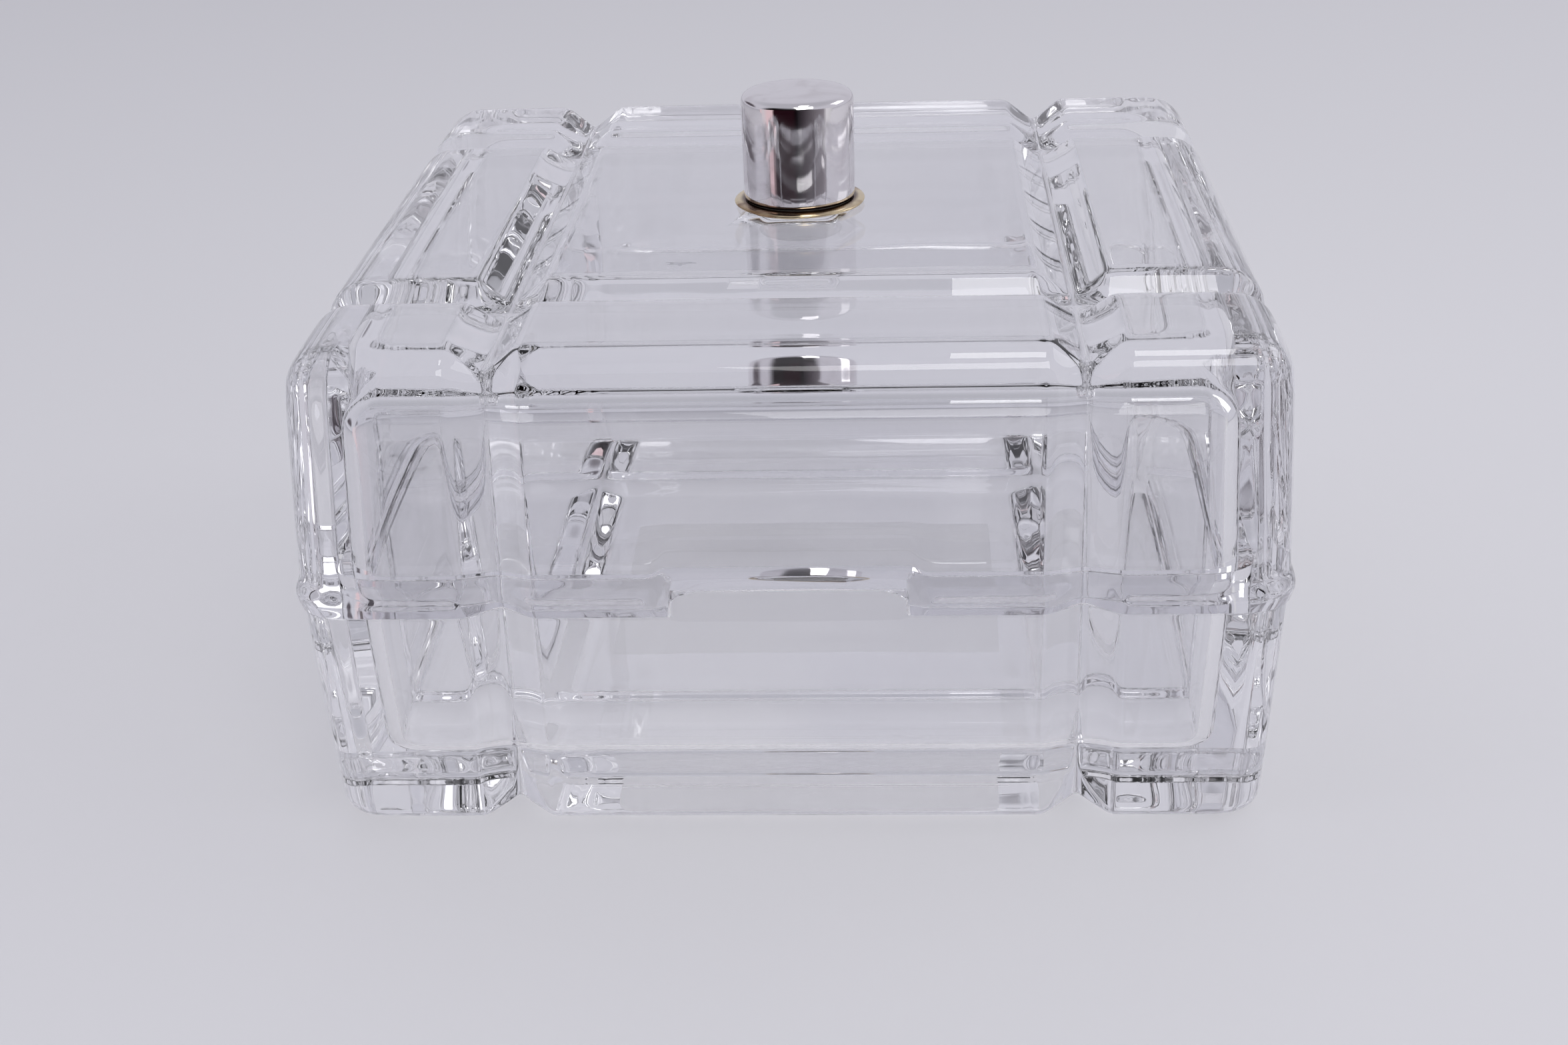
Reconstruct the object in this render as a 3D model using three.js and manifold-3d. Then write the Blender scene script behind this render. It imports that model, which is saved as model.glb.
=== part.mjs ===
// Clear moulded trinket box: a square base and a lift-off lid, both with V-grooves that wrap round
// them at their outer thirds, and a small metal knob cemented on a post in the middle of the lid.
// Millimetres, +Z up. The origin is the middle of the underside, and the front faces -Y.
import * as THREE from 'three';
import { mergeVertices } from 'three/addons/utils/BufferGeometryUtils.js';
import Module from 'manifold-3d';

const wasm = await Module();
wasm.setup();

// ---- Driving dimensions ----------------------------------------------------------------------

// Whole box
const LIP_WIDTH = 101.4;            // square plan, across the lid's lip bead
const BASE_HEIGHT = 25;             // underside to the parting line
const LID_HEIGHT = 27.5;            // parting line to the lid's flat top
const CORNER_RADIUS = 5;            // upright outer corners, in plan

// V-grooves
const GROOVE_OFFSET = 29.3;         // from the middle of the box to each groove's bottom
const GROOVE_HALF_WIDTH = 3.4;
const LID_GROOVE_DEPTH = 2.7;
const BASE_GROOVE_DEPTH = 2.3;

// Lid shell
const LIP_PROUD = 0.45;             // bead ridge beyond the foot of the lid's wall
const LIP_UNDERCUT = 0.1;           // bead's lower edge inside its ridge
const LIP_RIDGE_RISE = 1.8;         // parting line to the ridge
const LIP_BEAD_RISE = 3.7;          // parting line to where the bead meets the wall
const LID_DRAFT = 2.4;              // degrees
const LID_EDGE_RADIUS = 4.5;        // round between the walls and the top
const LID_WALL = 5.15;              // at the foot of the wall, above the bead
const LID_CEILING = 6;              // thickness of the top
const LID_INNER_DRAFT = 2;          // degrees
const LID_CEILING_FILLET = 3.4;
const INNER_CORNER_RADIUS = 4;      // upright inner corners of both shells

// Base shell
const LIP_OVERHANG = 0.55;          // lip ridge beyond the base's wall at the parting line
const BASE_DRAFT = 3;               // degrees
const FOOT_EDGE_RADIUS = 1.5;       // round between the walls and the underside
const BASE_WALL = 5.55;             // at the parting line
const BASE_INNER_DRAFT = 2.5;       // degrees
const BASE_FLOOR = 6.6;
const BASE_FLOOR_FILLET = 1.6;

// Registration: a tongue round the base's mouth, and a full-thickness tab in its front wall
const TONGUE_THICKNESS = 1.3;
const TONGUE_HEIGHT = 2.8;
const TONGUE_SIDE_CLEARANCE = 0.3;
const TONGUE_TOP_CLEARANCE = 0.3;
const TAB_WIDTH = 23.4;
const TAB_SIDE_CLEARANCE = 0.3;
const NOTCH_BLEND = 2.6;            // length of the bead's ramp at each end of the notch

// Knob
const KNOB_DIAMETER = 12.8;
const KNOB_HEIGHT = 13.1;           // lid's top to the top of the cap
const KNOB_EDGE_RADIUS = 1;
const KNOB_WALL = 0.6;
const COLLAR_REACH = 1.1;           // collar's edge beyond the cap
const COLLAR_THICKNESS = 0.8;
const COLLAR_DISH = 0.25;           // rise of the collar's outer edge above its foot
const CEMENT_WALL = 1;              // layer between the cap and the post
const CEMENT_CROWN = 2.2;           // layer between the top of the post and the cap
const KNOB_FIT = 0.02;              // gap between each two pieces of the knob

// Facets and cutters
const KNOB_SIDES = 40;
const CORNER_STEPS = 6;             // facets round each upright corner
const EDGE_STEPS = 5;               // facets across each round, fillet and bead
const OVERSHOOT = 2;                // how far a cutter runs past what it cuts
const TRIM_STAND_OUT = 0.6;         // how far the corner trims stay off the walls
const TRIM_START = 6;               // degrees of each corner's arc left to the walls at either end

// ---- Worked-out sizes ------------------------------------------------------------------------

const LIP_HALF = LIP_WIDTH / 2;
const LID_TOP = BASE_HEIGHT + LID_HEIGHT;
const LID_FOOT_HALF = LIP_HALF - LIP_PROUD;
const LID_LEAN = Math.tan(THREE.MathUtils.degToRad(LID_DRAFT));
const LID_INNER_LEAN = Math.tan(THREE.MathUtils.degToRad(LID_INNER_DRAFT));
const BASE_MOUTH_HALF = LIP_HALF - LIP_OVERHANG;
const BASE_LEAN = Math.tan(THREE.MathUtils.degToRad(BASE_DRAFT));
const BASE_INNER_LEAN = Math.tan(THREE.MathUtils.degToRad(BASE_INNER_DRAFT));
const BASE_INNER_HALF = BASE_MOUTH_HALF - BASE_WALL;
const TONGUE_HALF = BASE_INNER_HALF + TONGUE_THICKNESS;
const TONGUE_TOP = BASE_HEIGHT + TONGUE_HEIGHT;
const REBATE_HALF = TONGUE_HALF + TONGUE_SIDE_CLEARANCE;
const REBATE_TOP = TONGUE_TOP + TONGUE_TOP_CLEARANCE;
const NOTCH_HALF_WIDTH = TAB_WIDTH / 2 + TAB_SIDE_CLEARANCE;
const NOTCH_RISE = REBATE_TOP - BASE_HEIGHT;

// ---- Shared shapes ---------------------------------------------------------------------------

// A closed geometry as a solid, with its faces turned outwards.
function toSolid(geometry) {
  const bare = geometry.clone();
  bare.deleteAttribute('normal');
  bare.deleteAttribute('uv');
  const merged = mergeVertices(bare, 1e-5);
  const vertProperties = new Float32Array(merged.attributes.position.array);
  const triVerts = new Uint32Array(merged.index.array);
  if (enclosedVolume(vertProperties, triVerts) < 0) triVerts.reverse();
  return new wasm.Manifold(new wasm.Mesh({ numProp: 3, vertProperties, triVerts }));
}

function enclosedVolume(positions, triangles) {
  const corners = [new THREE.Vector3(), new THREE.Vector3(), new THREE.Vector3()];
  let volume = 0;
  for (let first = 0; first < triangles.length; first += 3) {
    corners.forEach((corner, k) => corner.fromArray(positions, 3 * triangles[first + k]));
    volume += corners[0].dot(corners[1].clone().cross(corners[2])) / 6;
  }
  return volume;
}

function toGeometry(solid) {
  const { vertProperties, triVerts } = solid.getMesh();
  const geometry = new THREE.BufferGeometry();
  geometry.setAttribute('position', new THREE.BufferAttribute(vertProperties, 3));
  geometry.setIndex(new THREE.BufferAttribute(triVerts, 1));
  geometry.computeVertexNormals();
  return geometry;
}

// A solid skinned over a row of rings that all have the same number of points. place(point, at)
// sets a ring's flat point in space; each ring is { at, points }.
function skin(givenRings, place) {
  const turnOver = THREE.ShapeUtils.isClockWise(givenRings[0].points);
  const rings = givenRings.map(({ at, points }) => (
    { at, points: turnOver ? [...points].reverse() : points }));
  const count = rings[0].points.length;
  const positions = rings.flatMap(({ at, points }) => points.flatMap((p) => place(p, at).toArray()));
  const index = [];
  for (let ring = 0; ring + 1 < rings.length; ring += 1) {
    for (let k = 0; k < count; k += 1) {
      const a = ring * count + k;
      const b = ring * count + (k + 1) % count;
      index.push(a, b, b + count, a, b + count, a + count);
    }
  }
  const lastStart = (rings.length - 1) * count;
  const firstCap = THREE.ShapeUtils.triangulateShape(rings[0].points, []);
  const lastCap = THREE.ShapeUtils.triangulateShape(rings[rings.length - 1].points, []);
  firstCap.forEach(([a, b, c]) => index.push(a, c, b));
  lastCap.forEach(([a, b, c]) => index.push(lastStart + a, lastStart + b, lastStart + c));
  const geometry = new THREE.BufferGeometry();
  geometry.setAttribute('position', new THREE.Float32BufferAttribute(positions, 3));
  geometry.setIndex(index);
  return toSolid(geometry);
}

const alongX = (p, at) => new THREE.Vector3(at, p.x, p.y);
const alongY = (p, at) => new THREE.Vector3(p.x, at, p.y);
const alongZ = (p, at) => new THREE.Vector3(p.x, p.y, at);

// A square with rounded corners, its half-width and corner radius given.
function roundedSquare(half, radius) {
  const points = [];
  for (let quarter = 0; quarter < 4; quarter += 1) {
    for (let k = 0; k <= CORNER_STEPS; k += 1) {
      const angle = (Math.PI / 2) * (quarter + k / CORNER_STEPS);
      const centre = new THREE.Vector2(half - radius, half - radius);
      centre.rotateAround(new THREE.Vector2(), (Math.PI / 2) * quarter);
      points.push(new THREE.Vector2(Math.cos(angle), Math.sin(angle)).multiplyScalar(radius).add(centre));
    }
  }
  return points;
}

// The same square with only its corners at their real size: its sides stand out past the walls, along
// the tangents at the ends of each corner's arc, so that it trims nothing but the corners.
function cornerTrim(half, radius) {
  const start = THREE.MathUtils.degToRad(TRIM_START);
  const centre = half - radius;
  const outside = half + TRIM_STAND_OUT;
  const reach = (outside - centre - radius * Math.cos(start)) / Math.sin(start);
  const tangentFoot = centre + radius * Math.sin(start) - reach * Math.cos(start);
  const corner = [new THREE.Vector2(outside, tangentFoot)];
  for (let k = 0; k <= CORNER_STEPS; k += 1) {
    const angle = start + (Math.PI / 2 - 2 * start) * (k / CORNER_STEPS);
    corner.push(new THREE.Vector2(centre + radius * Math.cos(angle), centre + radius * Math.sin(angle)));
  }
  corner.push(new THREE.Vector2(tangentFoot, outside));
  const points = [];
  for (let quarter = 0; quarter < 4; quarter += 1) {
    corner.forEach((p) => points.push(p.clone().rotateAround(new THREE.Vector2(), (Math.PI / 2) * quarter)));
  }
  return points;
}

function squarePrism(half, radius, low, high) {
  const points = roundedSquare(half, radius);
  return skin([{ at: low, points }, { at: high, points }], alongZ);
}

function box(low, high) {
  const size = new THREE.Vector3().subVectors(high, low);
  const geometry = new THREE.BoxGeometry(size.x, size.y, size.z);
  geometry.translate((low.x + high.x) / 2, (low.y + high.y) / 2, (low.z + high.z) / 2);
  return toSolid(geometry);
}

// A turned solid about the knob's axis; the profile starts and ends on the axis or closes on itself.
function turned(profile) {
  return toSolid(new THREE.LatheGeometry(profile, KNOB_SIDES).rotateX(Math.PI / 2));
}

// ---- Grooved shells --------------------------------------------------------------------------

// A wall profile is a list of points from the mouth to the flat face. Each has its place (s out from
// the middle, z up) and the way in which a groove pushes it (inS, inZ). lifts marks the lip bead's
// points, which rise over the front notch.

// The grooved section at one place along the box: front wall, flat face, back wall.
function section(profile, depth, frontRise) {
  const front = profile.map((p) => {
    const rise = p.lifts ? frontRise : 0;
    return new THREE.Vector2(-(p.s + p.inS * depth), p.z + rise + p.inZ * depth);
  });
  const back = profile.map((p) => new THREE.Vector2(p.s + p.inS * depth, p.z + p.inZ * depth));
  return front.concat(back.reverse());
}

// Places along the box where the section changes, with the groove's depth at each.
function grooveStops(depth) {
  const end = LIP_HALF + OVERSHOOT;
  const stops = [];
  for (const side of [-1, 1]) {
    stops.push({ at: side * end, depth: 0 });
    stops.push({ at: side * (GROOVE_OFFSET + GROOVE_HALF_WIDTH), depth: 0 });
    stops.push({ at: side * GROOVE_OFFSET, depth });
    stops.push({ at: side * (GROOVE_OFFSET - GROOVE_HALF_WIDTH), depth: 0 });
  }
  return stops;
}

// Places where the lip bead climbs over the notch: an S-shaped ramp at each end.
function notchStops() {
  const stops = [];
  for (const side of [-1, 1]) {
    for (let k = 0; k <= EDGE_STEPS; k += 1) {
      const along = k / EDGE_STEPS;
      const rise = NOTCH_RISE * (0.5 + 0.5 * Math.cos(Math.PI * along));
      stops.push({ at: side * (NOTCH_HALF_WIDTH + NOTCH_BLEND * (along - 0.5)), depth: 0, rise });
    }
  }
  return stops;
}

// The whole outside of a shell: the grooved section run across the box both ways, and the corner trims.
function groovedBlock(profile, depth, frontStops = []) {
  const inOrder = (a, b) => a.at - b.at;
  const ring = ({ at, depth: cut, rise = 0 }) => ({ at, points: section(profile, cut, rise) });
  const stopsX = grooveStops(depth).concat(frontStops).sort(inOrder);
  const stopsY = grooveStops(depth).sort(inOrder);
  const acrossX = skin(stopsX.map(ring), alongX);
  const acrossY = skin(stopsY.map(ring), alongY);
  return acrossX.intersect(acrossY).intersect(skin(cornerRings(profile), alongZ));
}

// Corner trims that follow a wall profile, run on past both of its ends.
function cornerRings(profile) {
  const rings = profile.map((p) => ({ at: p.z, points: cornerTrim(p.s, CORNER_RADIUS) }));
  const [first, last] = [rings[0], rings[rings.length - 1]];
  const outwards = Math.sign(last.at - first.at);
  rings.unshift({ at: first.at - outwards * OVERSHOOT, points: first.points });
  rings.push({ at: last.at + outwards * OVERSHOOT, points: last.points });
  return rings;
}

// Hollow of a shell: straight leaning walls and a filleted end.
function hollow({ mouthHalf, mouthZ, endZ, lean, fillet }) {
  const way = Math.sign(endZ - mouthZ);
  const wallAt = (z) => mouthHalf - lean * Math.abs(z - mouthZ);
  const rings = [mouthZ - way * OVERSHOOT, mouthZ].map((at) => ({ at, half: wallAt(mouthZ) }));
  for (let k = 0; k <= EDGE_STEPS; k += 1) {
    const angle = (Math.PI / 2) * (k / EDGE_STEPS);
    const z = endZ - way * fillet * (1 - Math.sin(angle));
    rings.push({ at: z, half: wallAt(endZ - way * fillet) - fillet * (1 - Math.cos(angle)) });
  }
  return skin(rings.map(({ at, half }) => (
    { at, points: roundedSquare(half, INNER_CORNER_RADIUS) })), alongZ);
}

// ---- Base tray -------------------------------------------------------------------------------

function baseProfile() {
  const wallAt = (z) => BASE_MOUTH_HALF + BASE_LEAN * (z - BASE_HEIGHT);
  const profile = [{ s: wallAt(TONGUE_TOP), z: TONGUE_TOP, inS: -1, inZ: 0 }];
  const centreS = wallAt(FOOT_EDGE_RADIUS) - FOOT_EDGE_RADIUS;
  for (let k = 0; k <= EDGE_STEPS; k += 1) {
    const angle = (Math.PI / 2) * (k / EDGE_STEPS);
    const [out, down] = [Math.cos(angle), Math.sin(angle)];
    const s = centreS + FOOT_EDGE_RADIUS * out;
    const z = FOOT_EDGE_RADIUS * (1 - down);
    // The groove's round moves in from the wall and up from the underside alike
    profile.push({ s, z, inS: -1, inZ: 1 });
  }
  return profile;
}

// Everything above the parting line that is neither the tongue nor the front tab.
function landCutter() {
  const reach = LIP_HALF + OVERSHOOT;
  const slab = box(new THREE.Vector3(-reach, -reach, BASE_HEIGHT),
    new THREE.Vector3(reach, reach, TONGUE_TOP + OVERSHOOT));
  const cornerRadius = INNER_CORNER_RADIUS + TONGUE_THICKNESS;
  const tongue = squarePrism(TONGUE_HALF, cornerRadius, BASE_HEIGHT - OVERSHOOT, TONGUE_TOP + 2 * OVERSHOOT);
  const tab = box(new THREE.Vector3(-TAB_WIDTH / 2, -reach - OVERSHOOT, BASE_HEIGHT - OVERSHOOT),
    new THREE.Vector3(TAB_WIDTH / 2, -BASE_INNER_HALF, TONGUE_TOP + 2 * OVERSHOOT));
  return slab.subtract(tongue).subtract(tab);
}

function baseTray() {
  const profile = baseProfile();
  const well = hollow({
    mouthHalf: BASE_INNER_HALF, mouthZ: TONGUE_TOP, endZ: BASE_FLOOR,
    lean: BASE_INNER_LEAN, fillet: BASE_FLOOR_FILLET,
  });
  return groovedBlock(profile, BASE_GROOVE_DEPTH)
    .subtract(landCutter())
    .subtract(well);
}

// ---- Lid shell -------------------------------------------------------------------------------

function lidProfile() {
  const beadFoot = BASE_HEIGHT + LIP_BEAD_RISE;
  const wallAt = (z) => LID_FOOT_HALF - LID_LEAN * (z - beadFoot);
  const profile = [
    { s: LIP_HALF - LIP_UNDERCUT, z: BASE_HEIGHT, inS: -1, inZ: 0 },
    { s: LIP_HALF - LIP_UNDERCUT / 2, z: BASE_HEIGHT + LIP_RIDGE_RISE / 2, inS: -1, inZ: 0, lifts: true },
  ];
  for (let k = 0; k <= EDGE_STEPS; k += 1) {
    const fall = 0.5 - 0.5 * Math.cos(Math.PI * (k / EDGE_STEPS));
    const z = BASE_HEIGHT + LIP_RIDGE_RISE + (LIP_BEAD_RISE - LIP_RIDGE_RISE) * (k / EDGE_STEPS);
    profile.push({ s: LIP_HALF - LIP_PROUD * fall, z, inS: -1, inZ: 0, lifts: true });
  }
  const centreZ = LID_TOP - LID_EDGE_RADIUS;
  const centreS = wallAt(centreZ) - LID_EDGE_RADIUS;
  for (let k = 0; k <= EDGE_STEPS; k += 1) {
    const angle = (Math.PI / 2) * (k / EDGE_STEPS);
    const [out, up] = [Math.cos(angle), Math.sin(angle)];
    profile.push({
      s: centreS + LID_EDGE_RADIUS * out, z: centreZ + LID_EDGE_RADIUS * up, inS: -out, inZ: -up,
    });
  }
  return profile;
}

function postHeight() {
  return KNOB_HEIGHT - KNOB_WALL - CEMENT_CROWN;
}

function postRadius() {
  return KNOB_DIAMETER / 2 - KNOB_WALL - CEMENT_WALL;
}

function lidShell() {
  const profile = lidProfile();
  const recess = hollow({
    mouthHalf: LID_FOOT_HALF - LID_WALL, mouthZ: BASE_HEIGHT, endZ: LID_TOP - LID_CEILING,
    lean: LID_INNER_LEAN, fillet: LID_CEILING_FILLET,
  });
  const rebateRadius = INNER_CORNER_RADIUS + TONGUE_THICKNESS + TONGUE_SIDE_CLEARANCE;
  const rebate = squarePrism(REBATE_HALF, rebateRadius, BASE_HEIGHT - OVERSHOOT, REBATE_TOP);
  const notch = box(new THREE.Vector3(-NOTCH_HALF_WIDTH, -LIP_HALF - OVERSHOOT, BASE_HEIGHT - OVERSHOOT),
    new THREE.Vector3(NOTCH_HALF_WIDTH, -BASE_INNER_HALF, REBATE_TOP));
  const post = turned([
    new THREE.Vector2(0, LID_TOP - LID_CEILING / 2),
    new THREE.Vector2(postRadius(), LID_TOP - LID_CEILING / 2),
    new THREE.Vector2(postRadius(), LID_TOP + postHeight()),
    new THREE.Vector2(0, LID_TOP + postHeight()),
  ]);
  return groovedBlock(profile, LID_GROOVE_DEPTH, notchStops())
    .subtract(recess)
    .subtract(rebate)
    .subtract(notch)
    .add(post);
}

// ---- Knob ------------------------------------------------------------------------------------

// Drawn cup with a softly rounded crown.
function knobCap() {
  const outer = KNOB_DIAMETER / 2;
  const inner = outer - KNOB_WALL;
  const foot = LID_TOP + COLLAR_THICKNESS + KNOB_FIT;
  const crown = LID_TOP + KNOB_HEIGHT;
  const profile = [
    new THREE.Vector2(0, crown - KNOB_WALL),
    new THREE.Vector2(inner, crown - KNOB_WALL),
    new THREE.Vector2(inner, foot),
    new THREE.Vector2(outer, foot),
  ];
  for (let k = 0; k <= EDGE_STEPS; k += 1) {
    const angle = (Math.PI / 2) * (k / EDGE_STEPS);
    profile.push(new THREE.Vector2(
      outer - KNOB_EDGE_RADIUS * (1 - Math.cos(angle)),
      crown - KNOB_EDGE_RADIUS * (1 - Math.sin(angle)),
    ));
  }
  profile.push(new THREE.Vector2(0, crown));
  return turned(profile);
}

// Thin ring under the cap, dished so that its outer edge stands a little off the lid.
function knobCollar() {
  const inner = KNOB_DIAMETER / 2 - KNOB_WALL;
  const outer = KNOB_DIAMETER / 2 + COLLAR_REACH;
  const seat = (inner + outer) / 2;
  const top = LID_TOP + COLLAR_THICKNESS;
  const softness = COLLAR_THICKNESS / 4;
  const profile = [
    new THREE.Vector2(inner, LID_TOP),
    new THREE.Vector2(seat, LID_TOP),
    new THREE.Vector2(outer - softness, LID_TOP + COLLAR_DISH / 2),
    new THREE.Vector2(outer, LID_TOP + COLLAR_DISH),
    new THREE.Vector2(outer, top - softness),
    new THREE.Vector2(outer - softness, top),
    new THREE.Vector2(inner, top),
    new THREE.Vector2(inner, LID_TOP),
  ];
  return turned(profile);
}

// Cement that fills the cap round and over the lid's post.
function knobCement() {
  const outer = KNOB_DIAMETER / 2 - KNOB_WALL - KNOB_FIT;
  const inner = postRadius() + KNOB_FIT;
  const crown = LID_TOP + KNOB_HEIGHT - KNOB_WALL - KNOB_FIT;
  return turned([
    new THREE.Vector2(0, LID_TOP + postHeight() + KNOB_FIT),
    new THREE.Vector2(inner, LID_TOP + postHeight() + KNOB_FIT),
    new THREE.Vector2(inner, LID_TOP + KNOB_FIT),
    new THREE.Vector2(outer, LID_TOP + KNOB_FIT),
    new THREE.Vector2(outer, crown),
    new THREE.Vector2(0, crown),
  ]);
}

// ---- Assembly --------------------------------------------------------------------------------

const clear = { transparent: true, opacity: 0.35 };

function piece(name, solid, look) {
  const mesh = new THREE.Mesh(toGeometry(solid), new THREE.MeshStandardMaterial(look));
  mesh.name = name;
  return mesh;
}

const base = new THREE.Group();
base.add(piece('base_tray', baseTray(), { color: 0xe9e9ee, roughness: 0.05, metalness: 0, ...clear }));

const lid = new THREE.Group();
lid.add(piece('lid_shell', lidShell(), { color: 0xececf2, roughness: 0.04, metalness: 0, ...clear }));
lid.add(piece('knob_cap', knobCap(), { color: 0xc9c4c8, roughness: 0.12, metalness: 1 }));
lid.add(piece('knob_collar', knobCollar(), { color: 0xb09868, roughness: 0.28, metalness: 1 }));
lid.add(piece('knob_cement', knobCement(), { color: 0xd8d4c6, roughness: 0.8, metalness: 0 }));

const trinketBox = new THREE.Group();
trinketBox.add(base, lid);

export default trinketBox;
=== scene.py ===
import math

import bmesh
import bpy
from mathutils import Matrix, Vector


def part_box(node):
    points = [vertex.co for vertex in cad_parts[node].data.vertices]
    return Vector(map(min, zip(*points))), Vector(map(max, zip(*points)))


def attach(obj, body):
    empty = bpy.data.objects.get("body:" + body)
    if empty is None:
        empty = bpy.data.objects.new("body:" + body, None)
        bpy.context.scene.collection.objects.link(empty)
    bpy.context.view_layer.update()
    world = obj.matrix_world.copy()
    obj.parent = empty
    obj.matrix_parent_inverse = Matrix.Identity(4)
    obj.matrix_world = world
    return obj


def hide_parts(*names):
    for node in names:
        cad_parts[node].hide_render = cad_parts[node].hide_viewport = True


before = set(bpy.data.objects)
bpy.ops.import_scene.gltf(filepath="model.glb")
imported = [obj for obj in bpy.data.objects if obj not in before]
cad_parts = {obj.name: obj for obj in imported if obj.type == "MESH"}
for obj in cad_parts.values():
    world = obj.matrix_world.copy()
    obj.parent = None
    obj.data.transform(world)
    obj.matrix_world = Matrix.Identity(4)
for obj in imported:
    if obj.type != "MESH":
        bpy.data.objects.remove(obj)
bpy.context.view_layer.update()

MM = 0.001

# ---- Base tray ---------------------------------------------------------------------------------
# The lower half of the box: one thick piece of clear pressed glass, square in plan. V-grooves run up
# its walls and under its floor, and a tongue round its mouth, with a full-thickness tab at the front,
# keeps the lid in place.

LIP_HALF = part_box("lid_shell")[1][0]
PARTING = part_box("lid_shell")[0][2]
TONGUE_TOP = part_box("base_tray")[1][2]
BASE_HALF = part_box("base_tray")[1][0]
SEAT_GAP = 0.03 * MM                 # air between the two ground mouths, half on each side

CORNER = 5.0 * MM                    # upright corners outside
CORNER_STEPS = 4
INNER_CORNER = 4.0 * MM
GROOVE_PLACE = 29.3 * MM
GROOVE_HALF_WIDTH = 3.4 * MM
ARRIS = 0.4 * MM                     # half the width of each softened groove edge
VALLEY = 0.25 * MM                   # half the width of the groove's rounded bottom
FLAT_SUPPORT = 1.2 * MM              # keeps each block flat up to its softened edge
EDGE_SUPPORT = 1.5 * MM              # keeps each wall flat up to its mouth and its fillet

BASE_GROOVE = 2.3 * MM
BASE_LEAN = math.tan(math.radians(3.0))
FOOT_ROUND = 1.5 * MM
BASE_WALL = 5.55 * MM
BASE_INNER_LEAN = math.tan(math.radians(2.5))
FLOOR = 6.6 * MM
FLOOR_FILLET = 1.6 * MM
TONGUE = 1.3 * MM
TAB_HALF_WIDTH = 11.7 * MM
TAB_STEP = 0.15 * MM                 # half the run of the tab's nearly upright ends
TAB_ROOT = 0.9 * MM                  # keeps the mouth flat up to the tab
MOUTH_REACH = 0.05 * MM              # takes in one row of points at a mouth and no other
MOUTH_EDGE = 0.22 * MM               # the mouth's square edges, softened by fire polishing
FRONT_FACE = -40 * MM                # everything in front of this is the front wall


def select(kind, test):
    """Leave selected only the vertices, edges or faces whose middle passes the test."""
    bpy.context.tool_settings.mesh_select_mode = [kind == k for k in ("VERT", "EDGE", "FACE")]
    shape = bmesh.from_edit_mesh(bpy.context.edit_object.data)
    for group in (shape.verts, shape.edges, shape.faces):
        for part in group:
            part.select_set(False)
    if kind == "VERT":
        chosen = [v for v in shape.verts if test(v.co)]
    elif kind == "EDGE":
        chosen = [e for e in shape.edges if test((e.verts[0].co + e.verts[1].co) / 2, e)]
    else:
        chosen = [f for f in shape.faces if test(f.calc_center_median(), f)]
    for part in chosen:
        part.select_set(True)
    bmesh.update_edit_mesh(bpy.context.edit_object.data)


def near(a, b, reach=0.001 * MM):
    return abs(a - b) < reach


def is_upright(edge):
    run = edge.verts[0].co - edge.verts[1].co
    return abs(run.z) > 5 * max(abs(run.x), abs(run.y))


def cut(axis, places):
    """Cut the whole shape across one axis at each place."""
    for place in places:
        where, facing = Vector((0, 0, 0)), Vector((0, 0, 0))
        where[axis], facing[axis] = place, 1
        bpy.ops.mesh.select_all(action="SELECT")
        bpy.ops.mesh.bisect(plane_co=where, plane_no=facing, use_fill=False, threshold=1e-7)


def resize_about(value, centre):
    bpy.ops.transform.resize(value=value, center_override=centre)


def add_shell_face(name, mouth, end, corner, edge, edge_steps, cuts_x, cuts_y, cuts_z):
    """One face of a shell, outer or inner: a leaning block open at its mouth. mouth and end are
    (half-width, height)."""
    bpy.ops.object.select_all(action="DESELECT")
    bpy.ops.mesh.primitive_cube_add(size=2)
    shell = bpy.context.object
    shell.name = name
    bpy.ops.object.mode_set(mode="EDIT")
    bpy.ops.mesh.select_all(action="SELECT")
    resize_about((mouth[0], mouth[0], abs(end[1] - mouth[1]) / 2), (0, 0, 0))
    bpy.ops.transform.translate(value=(0, 0, (end[1] + mouth[1]) / 2))
    select("VERT", lambda co: near(co.z, end[1]))
    resize_about((end[0] / mouth[0], end[0] / mouth[0], 1), (0, 0, end[1]))
    select("EDGE", lambda co, e: is_upright(e))
    bpy.ops.mesh.bevel(offset=corner, segments=CORNER_STEPS, affect="EDGES")
    select("FACE", lambda co, f: near(co.z, end[1]))
    bpy.ops.mesh.region_to_loop()
    bpy.ops.mesh.bevel(offset=edge, segments=edge_steps, affect="EDGES")
    select("FACE", lambda co, f: near(co.z, mouth[1]))
    bpy.ops.mesh.delete(type="FACE")
    cut(0, cuts_x)
    cut(1, cuts_y)
    cut(2, cuts_z)
    return shell


def groove_cuts():
    """Lines across the box for both grooves: each edge softened, the valley rounded."""
    across = (-GROOVE_HALF_WIDTH - ARRIS - FLAT_SUPPORT, -GROOVE_HALF_WIDTH - ARRIS,
              -GROOVE_HALF_WIDTH + ARRIS, -VALLEY, VALLEY, GROOVE_HALF_WIDTH - ARRIS,
              GROOVE_HALF_WIDTH + ARRIS, GROOVE_HALF_WIDTH + ARRIS + FLAT_SUPPORT)
    return [side * (GROOVE_PLACE + step) for side in (-1, 1) for step in across]


def from_groove(co):
    """How far a point is, across the nearer groove, from that groove's bottom."""
    return min(abs(abs(co.x) - GROOVE_PLACE), abs(abs(co.y) - GROOVE_PLACE))


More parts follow.
